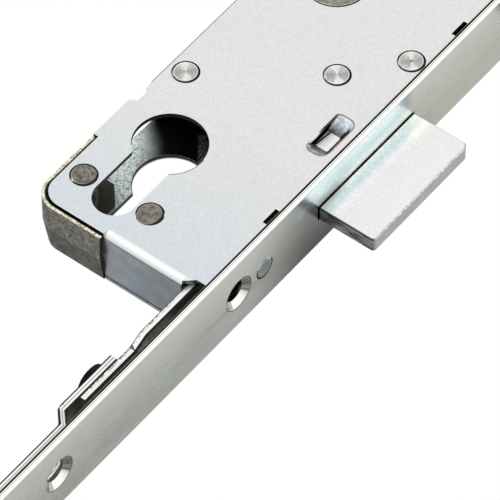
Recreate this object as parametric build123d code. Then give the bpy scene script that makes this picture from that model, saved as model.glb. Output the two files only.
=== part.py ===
from build123d import *
import math
import os

# Multipoint door lock. Millimetres. X is the throw of the bolts, Z runs up the door edge, and the
# origin is the axis of the cylinder hole at the middle of the case's thickness.

# Faceplate
backset = 35.0
faceplate_thickness = 2.0
faceplate_width = 22.0
faceplate_bottom = -355.0
faceplate_top = 410.0
faceplate_edge_round = 0.35

# Screws through the faceplate
screw_radius = 2.75
screw_head_radius = 4.5
screw_head_depth = 1.4
cylinder_screw_height = -19.6
screw_heights = (-340.0, -174.0, -83.1, 200.0, 398.0)

# Lock case
case_depth = 16.0
sheet = 1.2
case_back = -14.6
case_foot = -29.6
case_rise = 58.0
sheet_gap = 0.1
rivet_gap = 0.05
rivet_ring = 0.2
post_radius = 3.15
post_proud = 0.15
post_edge = 0.3
post_collar_margin = 0.3
post_collar = 0.2
back_wall_low = 12.5
back_wall_reach = 0.9
roof_end = 24.8

# Cylinder hole
cylinder_radius = 8.9
lobe_radius = 5.3
lobe_reach = 25.2

# Corner bracket
bracket_wall = 0.95
bracket_gap = 0.25
bracket_groove = 0.45
bracket_recess = 0.4
bracket_crease = 8.2
bracket_taper = 1.1
bracket_near_round = 6.2
bracket_far_round = 5.2
bracket_back_end = -8.6
bracket_foot_end = 4.56
bracket_base = 1.4
bracket_base_corner = 4.6

# Cover outline
cover_corner_round = 5.2
tab_top = 4.6
tab_reach = 0.9
nick_top = 9.8
nick_depth = 0.9
edge_notch_depth = 2.15
edge_notch_height = 4.8
edge_notch_tops = (-0.4, 70.2)
flange_end = 26.6
flange_height = 14.6
flange_bend = 2.4
flange_lip = 1.5
case_front_gap = 0.35
exit_low = 0.3
exit_step = 0.3
exit_rise = 2.4
exit_slope = 2.6

# Pressed window of the cover
louvre_left = 24.4
louvre_x = 27.0
louvre_z = 24.3
louvre_width = 6.4
louvre_length = 13.6
louvre_round = 2.6
louvre_depth = 2.9
louvre_floor_x = 26.1
louvre_floor_width = 3.8
louvre_floor_length = 5.0
louvre_floor_round = 0.4

# Posts and studs: places across the case (X) and up it (Z)
rear_post_x = -10.4
rear_post_z = 18.9
tumbler_post_x = 17.4
tumbler_post_z = 39.4
guide_post_x = 28.3
guide_post_rise = 7.8
corner_posts = ((-9.6, -19.1), (9.2, -18.8))
roof_post_places = (-9.0, 10.5)
roof_post_drop = 8.5
lower_stud_height = -10.2
upper_stud_drop = 8.0
stud_radius = 2.9
stud_block_start = 17.0
stud_block_end = 25.0
stud_block_height = 9.0

# Deadbolt
deadbolt_middle = 27.5
deadbolt_height = 35.6
deadbolt_thickness = 4.2
deadbolt_throw = 15.6
deadbolt_top_round = 1.6
deadbolt_low_round = 0.9
deadbolt_edge = 0.25
deadbolt_shoulder = 24.0
tail_end = 2.4
tail_top = 33.0
cam_notch_start = 5.6
cam_notch_end = 14.6
cam_notch_depth = 6.5
bolt_gap = 0.3

# Tumbler that holds the deadbolt
tumbler_thickness = 2.0
tumbler_far_face = -3.4
tumbler_arm_half = 2.4
tumbler_hub_radius = 4.4
tumbler_pin_radius = 1.9
peg_radius = 1.6
peg_x = 4.0
peg_lift = 0.5
peg_play = 0.9
peg_notch_depth = 3.4

# Latch
latch_rise = 34.4
latch_height = 21.0
latch_thickness = 8.0
latch_throw = 12.0
latch_back = 16.0
latch_bevel = 9.0
latch_nose = 1.2
latch_tail_thickness = 4.0
latch_tail_end = -0.8
latch_tail_drop = 20.9
latch_tail_top_drop = 2.0
latch_notch_start = 3.0
latch_notch_end = 9.6
latch_notch_drop = 14.8
latch_spring_rise = 2.6
spring_peg_radius = 2.0
spring_peg_length = 8.0

# Follower and its sector gear
follower_height = 62.0
follower_hole_radius = 8.0
follower_fit = 0.08
spindle_square = 8.1
collar_radius = 11.5
collar_near = -1.6
gear_module = 2.0
pitch_radius = 23.0
pressure_angle = 20.0
tooth_thickness = 2.88
dedendum_extra = 0.5
sector_teeth = 6
rack_teeth = 5
follower_turn = 45.0
gear_near = 4.4
gear_far = 6.4
latch_arm_reach = 16.0
latch_arm_tip_radius = 2.5
latch_arm_half = 2.4
latch_arm_lean = 22.5

# Drive slide and drive bars
slide_thickness = 2.0
slide_stand_off = 3.5
slide_half_width = 6.4
tongue_stand_off = 2.6
slide_slot_half = 3.4
bar_thickness = 2.0
bar_width = 18.0
bar_gap = 0.2
joggle_start = -45.2
joggle_end = -50.3
tongue_end = -67.6
bar_near_end = -54.4
bar_joggle_start = -72.6
bar_joggle_end = -77.4
splice_height = -59.3
splice_offset = 1.6
bend_round = 2.5
slot_play = 0.6
splice_head_radius = 4.6
splice_head_side = 2.1
splice_head_crown = 1.3
splice_shank_radius = 2.4
bar_end_margin = 4.0
slide_plate_low = -20.0
slide_plate_drop = 4.0
lower_strip_top = -8.9
upper_strip_drop = 12.4

# Hook bolts, placed from their pivots
hook_heights = {"upper": 305.0, "lower": -262.0}
hook_pivot_x = 14.0
hook_thickness = 6.0
hook_pivot_radius = 3.5
pivot_fit = 0.07
hook_hub_radius = 8.0
hook_reach = 43.0
hook_tip_width = 12.0
hook_tip_drop = 17.0
hook_throat = 3.0
hook_round = 3.0
hook_lobe_radius = 6.2
hook_pin_radius = 2.5
hook_pin_lever = 9.0
hook_slot_play = 0.95
hook_turn = 90.0
hook_side_gap = 0.5
hook_gap = 1.4
lug_thickness = 2.0
lug_start = 3.8
lug_back = 20.0
lug_half = 4.5
lug_foot_thickness = 2.0
lug_foot_half = 9.5
lug_foot_width = 4.0
hook_case_back = 2.0
hook_case_front = 28.4
hook_case_low = 26.0
hook_case_high = 50.0
hook_foot_length = 14.0
hook_foot_back = 22.0
hook_stud_offset = 9.0
hook_bar_slot_low = 20.0
hook_bar_slot_high = 32.0

# Roller cams
roller_offsets = {"upper": -80.0, "lower": 107.0}
roller_pin_radius = 3.0
roller_fit = 0.06
roller_radius = 5.8
roller_length = 6.0
roller_gap = 1.0
roller_flange_radius = 4.4
roller_flange = 1.2
roller_head_radius = 4.5
roller_head = 2.0
roller_flange_gap = 0.15
roller_edge = 0.6

# Wire springs
latch_spring_radius = 3.0
latch_spring_wire = 0.9
latch_spring_turns = 9
follower_spring_radius = 12.4
follower_spring_wire = 1.2
follower_spring_turns = 2
follower_spring_pitch = 1.65
follower_spring_gap = 0.4
tumbler_spring_wire = 0.8
tumbler_spring_rise = 20.2
tumbler_spring_swing = 4.0

overrun = 1.0

# Faces that follow from the sizes above
faceplate_rear = backset - faceplate_thickness
near_face = -case_depth / 2
far_face = case_depth / 2
cover_inner = near_face + sheet
tray_inner = far_face - sheet
lobe_low = lobe_radius - lobe_reach
drive_travel = pitch_radius * math.radians(follower_turn)
slide_front = faceplate_rear - slide_stand_off
slide_rear = slide_front - slide_thickness
bar_front = faceplate_rear - bar_gap
bar_rear = bar_front - bar_thickness
tongue_front = faceplate_rear - tongue_stand_off
tongue_rear = tongue_front - slide_thickness
raised_rear = tongue_rear - bar_thickness
case_front = faceplate_rear - case_front_gap
bracket_back = case_back - tab_reach
bracket_low = case_foot - bracket_wall - bracket_groove
bracket_near = near_face + bracket_recess
tray_back = case_back - back_wall_reach
case_top = follower_height + case_rise
roof_posts = tuple((x, case_top - roof_post_drop) for x in roof_post_places)
case_stud_heights = (lower_stud_height, case_top - upper_stud_drop)
deadbolt_low = deadbolt_middle - deadbolt_height / 2
deadbolt_high = deadbolt_middle + deadbolt_height / 2
guide_post_z = deadbolt_high + guide_post_rise
deadbolt_tip = backset + deadbolt_throw
latch_middle = follower_height + latch_rise
latch_low = latch_middle - latch_height / 2
latch_high = latch_middle + latch_height / 2
latch_tail_low = latch_middle - latch_tail_drop
latch_tail_high = latch_middle - latch_tail_top_drop
latch_notch_top = latch_middle - latch_notch_drop
latch_spring_height = latch_middle + latch_spring_rise
peg_z = tail_top + peg_radius + peg_lift
slide_plate_high = case_top - slide_plate_drop
upper_strip_bottom = case_top - upper_strip_drop
roller_heights = {which: height + roller_offsets[which] for which, height in hook_heights.items()}


def block(x_limits, y_limits, z_limits):
    """Box between pairs of limits."""
    low, high = zip(x_limits, y_limits, z_limits)
    middle = [(a + b) / 2 for a, b in zip(low, high)]
    size = [abs(b - a) for a, b in zip(low, high)]
    return Pos(*middle) * Box(*size)


def rod_along_y(radius, x, z, y_low, y_high):
    """Round bar across the case."""
    return Pos(x, (y_low + y_high) / 2, z) * Rot(90, 0, 0) * Cylinder(radius, y_high - y_low)


def rod_along_x(radius, z, x_low, x_high):
    """Round bar square to the faceplate, on its centre line."""
    return Pos((x_low + x_high) / 2, 0, z) * Rot(0, 90, 0) * Cylinder(radius, x_high - x_low)


def slot_along_z(half_width, z_low, z_high, x_low, x_high):
    """Round-ended slot cutter through a strip, between its end centres."""
    body = block((x_low, x_high), (-half_width, half_width), (z_low, z_high))
    return body + [rod_along_x(half_width, z, x_low, x_high) for z in (z_low, z_high)]


def plate(points, radii, y_low, y_high):
    """Flat plate in the plane of the case, from its corners and their rounding radii."""
    face = Plane.XZ * make_face(FilletPolyline(*points, radius=radii, close=True))
    return extrude(Pos(0, y_high, 0) * face, amount=y_high - y_low)


def turned(shape, angle, x, z):
    """Shape turned about an axis across the case, the front going up."""
    return Pos(x, 0, z) * Rot(0, -angle, 0) * Pos(-x, 0, -z) * shape


def one_solid(shape):
    """The single solid that a piece has to be."""
    solids = shape.solids()
    if len(solids) != 1:
        raise ValueError(f"expected one solid, found {len(solids)}")
    return solids[0]


def cylinder_cutter(radius, lobe, y_low, y_high):
    """Keyhole shape of the cylinder, across the case."""
    body = rod_along_y(radius, 0, 0, y_low, y_high)
    body += block((-lobe, lobe), (y_low, y_high), (lobe_low, 0))
    return body + rod_along_y(lobe, 0, lobe_low, y_low, y_high)


def countersunk(z):
    """Cutter for one countersunk hole in the faceplate."""
    hole = rod_along_x(screw_radius, z, faceplate_rear - overrun, backset + overrun)
    slope = (screw_head_radius - screw_radius) / screw_head_depth
    depth = screw_head_depth + overrun
    cone = Cone(screw_radius, screw_radius + slope * depth, depth)
    return hole + Pos(backset + overrun - depth / 2, 0, z) * Rot(0, 90, 0) * cone


def moving_slot(radius, z):
    """Slot limits in a drive bar for something fixed at height z, while the bar goes up."""
    return z - drive_travel - slot_play, z + slot_play


def hook_stud_heights(pivot):
    """The two studs that hold a hook case to the faceplate."""
    return (pivot - hook_case_low - hook_stud_offset, pivot + hook_case_high + hook_stud_offset)


def faceplate():
    """Flat strip along the door edge, with every hole it carries."""
    body = block(
        (faceplate_rear, backset),
        (-faceplate_width / 2, faceplate_width / 2),
        (faceplate_bottom, faceplate_top),
    )
    body = fillet(body.edges().filter_by(Axis.Z), faceplate_edge_round)
    through = (faceplate_rear - overrun, backset + overrun)
    deadbolt_half = deadbolt_thickness / 2 + bolt_gap
    body -= block(
        through, (-deadbolt_half, deadbolt_half), (deadbolt_low - bolt_gap, deadbolt_high + bolt_gap)
    )
    latch_half = latch_thickness / 2 + bolt_gap
    body -= block(through, (-latch_half, latch_half), (latch_low - bolt_gap, latch_high + bolt_gap))
    for height in screw_heights + (cylinder_screw_height,):
        body -= countersunk(height)
    stud_heights = list(case_stud_heights)
    hook_half = hook_thickness / 2 + hook_side_gap
    swing = math.hypot(hook_reach, hook_tip_drop) + hook_gap
    slot_top = math.sqrt(swing**2 - (faceplate_rear - hook_pivot_x) ** 2)
    for pivot in hook_heights.values():
        stud_heights.extend(hook_stud_heights(pivot))
        body -= block(
            through, (-hook_half, hook_half), (pivot - hook_throat - hook_gap, pivot + slot_top)
        )
    for height in stud_heights:
        body -= rod_along_x(stud_radius + rivet_gap, height, *through)
    for height in roller_heights.values():
        body -= slot_along_z(
            roller_pin_radius + bolt_gap, height, height + drive_travel + slot_play, *through
        )
    return body


def louvre_form(margin):
    """Pressed form of the window, open at its cut side, with a margin round and below it."""
    far = near_face + louvre_depth + margin
    faces = []
    for y, x, width, length, corner in (
        (far, louvre_floor_x, louvre_floor_width, louvre_floor_length, louvre_floor_round),
        (near_face, louvre_x, louvre_width, louvre_length, louvre_round),
    ):
        outline = RectangleRounded(width + 2 * margin, length + 2 * margin, corner + margin)
        faces.append(Pos(0, y, 0) * (Plane.XZ * (Pos(x, louvre_z) * outline)))
    reach = louvre_length
    kept = block((louvre_left, louvre_left + reach), (near_face, far), (louvre_z - reach, louvre_z + reach))
    return loft(faces, ruled=True) & kept


def cover_points():
    """Corners of the cover and their rounding radii."""
    inner_back = bracket_back + bracket_wall + bracket_groove
    nick = case_back + nick_depth
    corners = [
        (inner_back, case_foot, cover_corner_round),
        (bracket_foot_end, case_foot, 0),
        (bracket_foot_end, case_foot + flange_bend, 0),
        (flange_end, case_foot + flange_bend, 0),
        (flange_end, case_foot + exit_low, 0),
        (flange_end + exit_step, case_foot + exit_low, 0),
        (flange_end + exit_slope, case_foot + exit_rise, 0),
        (case_front, case_foot + exit_rise, 0),
    ]
    for top in edge_notch_tops:
        corners += [
            (case_front, top - edge_notch_height, 0),
            (case_front - edge_notch_depth, top - edge_notch_height, 0),
            (case_front - edge_notch_depth, top, 0),
            (case_front, top, 0),
        ]
    corners += [
        (case_front, case_top, 0),
        (case_back, case_top, cover_corner_round),
        (case_back, nick_top, 0),
        (nick, nick_top - nick_depth, 0),
        (nick, tab_top + nick_depth, 0),
        (bracket_back, tab_top, 0),
        (bracket_back, bracket_back_end + bracket_gap, 0),
        (inner_back, bracket_back_end + bracket_gap, 0),
    ]
    return [(x, z) for x, z, _ in corners], [radius for _, _, radius in corners]


def all_post_holes():
    """Places of the posts whose ends show in the cover."""
    single = (
        (rear_post_x, rear_post_z),
        (tumbler_post_x, tumbler_post_z),
        (guide_post_x, guide_post_z),
    )
    return single + corner_posts + roof_posts


def flange():
    """Folded foot of the cover with its bend and the lip that runs in above the bracket's end."""
    far = near_face + flange_height
    lap = case_foot + flange_bend + sheet
    points = [
        (near_face, lap),
        (near_face, case_foot),
        (far, case_foot),
        (far, case_foot + sheet),
        (cover_inner, case_foot + sheet),
        (cover_inner, lap),
    ]
    radii = [0, flange_bend, 0, 0, flange_bend - sheet, 0]
    face = Plane.YZ * make_face(FilletPolyline(*points, radius=radii, close=True))
    lip = block(
        (bracket_foot_end - flange_lip, bracket_foot_end),
        (near_face, near_face + bracket_crease),
        (case_foot, case_foot + sheet),
    )
    return lip + extrude(Pos(bracket_foot_end, 0, 0) * face, amount=flange_end - bracket_foot_end)


def case_cover():
    """Near plate of the case with its folded foot and pressed window."""
    points, radii = cover_points()
    body = plate(points, radii, near_face, cover_inner)
    body += flange()
    body -= cylinder_cutter(cylinder_radius, lobe_radius, near_face - overrun, cover_inner + overrun)
    body -= rod_along_y(
        follower_hole_radius, 0, follower_height, near_face - overrun, cover_inner + overrun
    )
    for x, z in all_post_holes():
        body -= rod_along_y(post_radius + rivet_ring, x, z, near_face - overrun, cover_inner + overrun)
    outer = louvre_form(sheet)
    return one_solid(body - outer + (outer - louvre_form(0)))


def case_tray():
    """Far plate of the case with its back wall and roof."""
    floor = (tray_inner, far_face)
    low = case_foot - sheet_gap
    depth = (cover_inner + sheet_gap, far_face)
    body = block((tray_back, case_front), floor, (low, case_top))
    body += block((tray_back, tray_back + sheet), depth, (back_wall_low, case_top))
    body += block((tray_back, roof_end), depth, (case_top - sheet, case_top))
    body -= cylinder_cutter(cylinder_radius, lobe_radius, tray_inner - overrun, far_face + overrun)
    body -= rod_along_y(follower_hole_radius, 0, follower_height, tray_inner - overrun, far_face + overrun)
    for x, z in corner_posts + roof_posts:
        body -= rod_along_y(post_radius + rivet_ring, x, z, tray_inner - overrun, far_face + overrun)
    corner = block(
        (tray_back - overrun, bracket_foot_end),
        (tray_inner - overrun, far_face + overrun),
        (low - overrun, bracket_back_end),
    )
    inset = bracket_wall + bracket_gap
    body -= corner - bracket_block(inset, near_face - overrun, far_face + overrun)
    return one_solid(body)


def bracket_outline(inset, corner_round):
    """L-shaped corner of the bracket as a filled face, inset from its outer faces."""
    points = [
        (bracket_back + inset, bracket_low + inset),
        (bracket_foot_end, bracket_low + inset),
        (bracket_foot_end, bracket_back_end),
        (bracket_back + inset, bracket_back_end),
    ]
    return make_face(FilletPolyline(*points, radius=[corner_round - inset, 0, 0, 0], close=True))


def bracket_block(inset, y_low, y_high):
    """Solid corner of the bracket, inset from its outer faces, drawn in beyond its crease."""
    crease = near_face + bracket_crease
    near = Pos(0, crease, 0) * (Plane.XZ * bracket_outline(inset, bracket_near_round))
    drawn = bracket_outline(inset + bracket_taper, bracket_far_round + bracket_taper)
    far = Pos(0, y_high, 0) * (Plane.XZ * drawn)
    return loft([far, near], ruled=True) + extrude(near, amount=crease - y_low)


def corner_bracket():
    """Wall round the rear lower corner, drawn in towards its far side, with a base."""
    wall = bracket_block(0, bracket_near, far_face)
    wall -= bracket_block(bracket_wall, near_face - overrun, far_face + overrun)
    base_inset = bracket_taper + bracket_wall / 4
    base_low = bracket_low + base_inset
    base_back = bracket_back + base_inset
    base_points = [
        (base_back, base_low),
        (bracket_foot_end, base_low),
        (bracket_foot_end, case_foot + bracket_base_corner),
        (base_back + bracket_base_corner, bracket_back_end),
        (base_back, bracket_back_end),
    ]
    base_far = tray_inner - sheet_gap
    base = plate(base_points, [bracket_far_round, 0, 0, 0, 0], base_far - bracket_base, base_far)
    through = (base_far - bracket_base - overrun, base_far + overrun)
    for x, z in corner_posts:
        base -= rod_along_y(post_radius + rivet_gap, x, z, *through)
    return wall + base - cylinder_cutter(cylinder_radius, lobe_radius, *through)


def through_post(x, z):
    """Riveted post from the tray to the cover, with softened ends."""
    post = rod_along_y(post_radius, x, z, near_face - post_proud, far_face + post_proud)
    return chamfer(post.edges().filter_by(GeomType.CIRCLE), post_edge)


def short_post(x, z, pin_radius, far_end):
    """Post riveted into the cover only, stepped down inside the case."""
    head = rod_along_y(post_radius, x, z, near_face - post_proud, cover_inner)
    head = chamfer(head.edges().filter_by(GeomType.CIRCLE).sort_by(Axis.Y)[0], post_edge)
    collar_radius = post_radius + post_collar_margin
    collar = rod_along_y(collar_radius, x, z, cover_inner, cover_inner + post_collar)
    return head + collar + rod_along_y(pin_radius, x, z, cover_inner, far_end)


def case_studs():
    """Blocks across the case with shanks riveted through the faceplate."""
    studs = []
    half = stud_block_height / 2
    for height in case_stud_heights:
        body = block(
            (stud_block_start, stud_block_end), (cover_inner, tray_inner), (height - half, height + half)
        )
        studs.append(body + rod_along_x(stud_radius, height, stud_block_end, backset))
    return Compound(children=[one_solid(stud) for stud in studs])


def deadbolt():
    """Flat bolt: tall head, lower tail with the cam notch and two tumbler notches."""
    notch_top = deadbolt_low + cam_notch_depth
    points = [
        (tail_end, deadbolt_low),
        (cam_notch_start, deadbolt_low),
        (cam_notch_start, notch_top),
        (cam_notch_end, notch_top),
        (cam_notch_end, deadbolt_low),
        (deadbolt_tip, deadbolt_low),
        (deadbolt_tip, deadbolt_high),
        (deadbolt_shoulder, deadbolt_high),
        (deadbolt_shoulder, tail_top),
        (tail_end, tail_top),
    ]
    radii = [0, 0, 0, 0, 0, deadbolt_low_round, deadbolt_top_round, 0, 0, 0]
    half = deadbolt_thickness / 2
    body = plate(points, radii, -half, half)
    rim = [
        edge
        for face in body.faces().filter_by(Axis.Y)
        for edge in face.edges()
        if edge.center().X > deadbolt_shoulder
    ]
    body = chamfer(rim, deadbolt_edge)
    notch_half = peg_radius + peg_play
    for x in (peg_x, peg_x + deadbolt_throw):
        middle = x + peg_play / 2
        body -= block(
            (middle - notch_half, middle + notch_half),
            (-half - overrun, half + overrun),
            (tail_top - peg_notch_depth, tail_top + overrun),
        )
    return one_solid(body)


def tumbler():
    """Lever beside the bolt, with a peg that drops into the bolt's notches."""
    near = tumbler_far_face - tumbler_thickness
    arm = SlotCenterToCenter(
        math.hypot(tumbler_post_x - peg_x, tumbler_post_z - peg_z), 2 * tumbler_arm_half
    )
    angle = math.degrees(math.atan2(tumbler_post_z - peg_z, tumbler_post_x - peg_x))
    middle = ((tumbler_post_x + peg_x) / 2, (tumbler_post_z + peg_z) / 2)
    face = Plane.XZ * (Pos(*middle) * Rot(0, 0, angle) * arm)
    body = extrude(Pos(0, tumbler_far_face, 0) * face, amount=tumbler_thickness)
    body += rod_along_y(tumbler_hub_radius, tumbler_post_x, tumbler_post_z, near, tumbler_far_face)
    body += rod_along_y(peg_radius, peg_x, peg_z, near, deadbolt_thickness / 2 - bolt_gap)
    body -= rod_along_y(
        tumbler_pin_radius + pivot_fit,
        tumbler_post_x,
        tumbler_post_z,
        near - overrun,
        tumbler_far_face + overrun,
    )
    return one_solid(body)


def latch():
    """Sprung latch: bevelled head and a tail with the notch for the follower's arm."""
    half = latch_thickness / 2
    tip = backset + latch_throw
    profile = [(latch_back, -half), (tip - latch_nose, -half), (tip, -half + latch_nose)]
    profile += [(tip, 0), (tip - latch_bevel, half), (latch_back, half)]
    face = make_face(Polyline(*profile, close=True))
    body = extrude(Pos(0, 0, latch_low) * face, amount=latch_height)
    tail_half = latch_tail_thickness / 2
    points = [
        (latch_tail_end, latch_tail_low),
        (latch_notch_start, latch_tail_low),
        (latch_notch_start, latch_notch_top),
        (latch_notch_end, latch_notch_top),
        (latch_notch_end, latch_low),
        (latch_back + overrun, latch_low),
        (latch_back + overrun, latch_tail_high),
        (latch_tail_end, latch_tail_high),
    ]
    return one_solid(body + plate(points, [0] * len(points), -tail_half, tail_half))


def follower_hub():
    """Hub with the spindle square, a collar and the arm that draws the latch."""
    journal = follower_hole_radius - follower_fit
    body = rod_along_y(journal, 0, follower_height, near_face, far_face)
    body += rod_along_y(collar_radius, 0, follower_height, collar_near, gear_near)
    lean = math.radians(latch_arm_lean)
    tip_x = latch_arm_reach * math.sin(lean)
    tip_z = follower_height + latch_arm_reach * math.cos(lean)
    arm_half = latch_tail_thickness / 2 - sheet_gap
    arm = block(
        (-latch_arm_half, latch_arm_half),
        (collar_near, arm_half),
        (follower_height, follower_height + latch_arm_reach),
    )
    body += turned(arm, -latch_arm_lean, 0, follower_height)
    body += rod_along_y(latch_arm_tip_radius, tip_x, tip_z, collar_near, arm_half)
    square = spindle_square / 2
    body -= block(
        (-square, square),
        (near_face - overrun, far_face + overrun),
        (follower_height - square, follower_height + square),
    )
    return one_solid(body)


def tooth_face():
    """One gear tooth pointing along X from the centre at zero, with arc flanks near an involute."""
    base_radius = pitch_radius * math.cos(math.radians(pressure_angle))
    tip_radius = pitch_radius + gear_module
    root_radius = pitch_radius - gear_module - dedendum_extra

    def roll(radius):
        angle = math.acos(base_radius / radius)
        return math.tan(angle) - angle

    half_pitch = tooth_thickness / 2 / pitch_radius

    def flank(radius, side):
        angle = half_pitch + roll(pitch_radius) - roll(max(radius, base_radius))
        return (radius * math.cos(angle), side * radius * math.sin(angle))

    foot_radius = root_radius - dedendum_extra
    sides = {}
    for side in (-1, 1):
        foot = flank(foot_radius, side)
        base = flank(base_radius, side)
        tip = flank(tip_radius, side)
        sides[side] = [foot, tip, Line(foot, base), ThreePointArc(base, flank(pitch_radius, side), tip)]
    ends = [Line(sides[-1][index], sides[1][index]) for index in (0, 1)]
    return make_face(sides[-1][2:] + sides[1][2:] + ends)


def follower_sector():
    """Toothed sector on the hub, drawn at mid travel and turned back to rest."""
    root_radius = pitch_radius - gear_module - dedendum_extra
    pitch_angle = math.degrees(gear_module * math.pi / pitch_radius)
    reach = pitch_angle * sector_teeth / 2
    fan = make_face([
        Line((0, 0), Vector(root_radius, 0).rotate(Axis.Z, -reach)),
        ThreePointArc(
            Vector(root_radius, 0).rotate(Axis.Z, -reach),
            (root_radius, 0),
            Vector(root_radius, 0).rotate(Axis.Z, reach),
        ),
        Line(Vector(root_radius, 0).rotate(Axis.Z, reach), (0, 0)),
    ])
    outline = fan + Circle(collar_radius)
    for index in range(sector_teeth):
        outline += Rot(0, 0, (index + 0.5) * pitch_angle - reach) * tooth_face()
    outline -= Circle(follower_hole_radius - follower_fit + rivet_gap)
    flat = Plane.XZ * (Pos(0, follower_height) * outline)
    body = extrude(Pos(0, gear_far, 0) * flat, amount=gear_far - gear_near)
    return one_solid(turned(body, -follower_turn / 2, 0, follower_height))


def rack_tooth(z):
    """One rack tooth pointing at the follower, as a plate of the gear layer."""
    slope = math.tan(math.radians(pressure_angle))
    tip = pitch_radius - gear_module
    root = pitch_radius + gear_module + dedendum_extra
    tip_half = tooth_thickness / 2 - gear_module * slope
    root_half = tooth_thickness / 2 + (gear_module + dedendum_extra) * slope
    points = [
        (tip, z - tip_half),
        (root + overrun, z - root_half),
        (root + overrun, z + root_half),
        (tip, z + tip_half),
    ]
    return plate(points, [0] * len(points), gear_near, gear_far)


def strip(thickness, half_width, middles):
    """Joggled strip along the faceplate, swept along its middle line of (x, z) points."""
    path = FilletPolyline(*[(x, 0, z) for x, z in middles], radius=bend_round)
    section = Plane(origin=path @ 0, x_dir=(0, 1, 0), z_dir=path % 0) * Rectangle(2 * half_width, thickness)
    return sweep(section, path)


def tapered(body, widths, x_limits):
    """Strip cut to half widths given with their heights."""
    points = [(-half, z) for half, z in widths] + [(half, z) for half, z in reversed(widths)]
    face = Plane.YZ * make_face(Polyline(*points, close=True))
    return body & extrude(Pos(x_limits[0], 0, 0) * face, amount=x_limits[1] - x_limits[0])


def mirrored_height(z):
    """Height at the top of the case that answers to a height at its foot."""
    return case_foot + case_top - splice_offset - z


def drive_slide():
    """Slide through the case: a flat plate with rack teeth and a joggled tongue at each end."""
    root = pitch_radius + gear_module + dedendum_extra
    body = block((root, slide_front), (gear_near, gear_far), (slide_plate_low, slide_plate_high))
    pitch = gear_module * math.pi
    for index in range(rack_teeth):
        offset = (index - (rack_teeth - 1) / 2) * pitch
        body += rack_tooth(follower_height + offset - drive_travel / 2)
    middle_in = (slide_rear + slide_front) / 2
    middle_out = (tongue_rear + tongue_front) / 2
    lower = [
        (middle_in, lower_strip_top),
        (middle_in, joggle_start),
        (middle_out, joggle_end),
        (middle_out, tongue_end),
    ]
    upper = [(middle_in, upper_strip_bottom)]
    upper += [(x, mirrored_height(z)) for x, z in lower[1:]]
    for middles in (lower, upper):
        body += strip(slide_thickness, slide_half_width, middles)
    through = (slide_rear - overrun, slide_front + overrun)
    low, _ = moving_slot(stud_radius, cylinder_screw_height)
    body -= slot_along_z(slide_slot_half, low, lower_strip_top + slide_slot_half, *through)
    _, high = moving_slot(stud_radius, case_stud_heights[1])
    body -= slot_along_z(slide_slot_half, upper_strip_bottom - slide_slot_half, high, *through)
    for height in (splice_height, mirrored_height(splice_height)):
        body -= rod_along_x(splice_shank_radius + rivet_gap, height, tongue_rear - overrun, faceplate_rear)
    return one_solid(body)


def drive_bar(which):
    """Flat bar behind the faceplate, joggled over the tongue, with its slots and holes."""
    raised = raised_rear + bar_thickness / 2
    flat = bar_rear + bar_thickness / 2
    pivot = hook_heights[which]
    studs = hook_stud_heights(pivot)
    if which == "lower":
        end = moving_slot(stud_radius, studs[0])[0] - stud_radius - bar_end_margin
        heights = [bar_near_end, bar_joggle_start, bar_joggle_end, end]
        splice = splice_height
    else:
        end = studs[1] + slot_play + stud_radius + bar_end_margin
        heights = [mirrored_height(z) for z in (bar_near_end, bar_joggle_start, bar_joggle_end)] + [end]
        splice = mirrored_height(splice_height)
    wide = bar_width / 2
    body = strip(bar_thickness, wide, list(zip((raised, raised, flat, flat), heights)))
    widths = list(zip((slide_half_width, slide_half_width, wide, wide), heights))
    body = tapered(body, widths, (raised_rear - overrun, faceplate_rear))
    through = (bar_rear - overrun, bar_front + overrun)
    limits = (min(heights), max(heights))
    for height in screw_heights:
        if limits[0] < height < limits[1]:
            body -= slot_along_z(screw_radius + slot_play, *moving_slot(screw_radius, height), *through)
    for height in studs:
        body -= slot_along_z(stud_radius + bolt_gap, *moving_slot(stud_radius, height), *through)
    hook_half = hook_thickness / 2 + hook_side_gap
    body -= block(
        through, (-hook_half, hook_half), (pivot - hook_bar_slot_low, pivot + hook_bar_slot_high)
    )
    body -= rod_along_x(roller_pin_radius + rivet_gap, roller_heights[which], *through)
    body -= rod_along_x(splice_shank_radius + rivet_gap, splice, raised_rear - overrun, bar_front)
    return one_solid(body)


def splice_rivets():
    """Rivets with crowned heads that join the bars to the slide's tongues."""
    ball = (splice_head_radius**2 + splice_head_crown**2) / (2 * splice_head_crown)
    head_rear = raised_rear - splice_head_side - splice_head_crown
    rivets = []
    for height in (splice_height, mirrored_height(splice_height)):
        head = rod_along_x(splice_head_radius, height, head_rear, raised_rear)
        head &= Pos(head_rear + ball, 0, height) * Sphere(ball)
        shank = rod_along_x(splice_shank_radius, height, raised_rear, tongue_front)
        rivets.append(one_solid(head + shank))
    return Compound(children=rivets)


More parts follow.
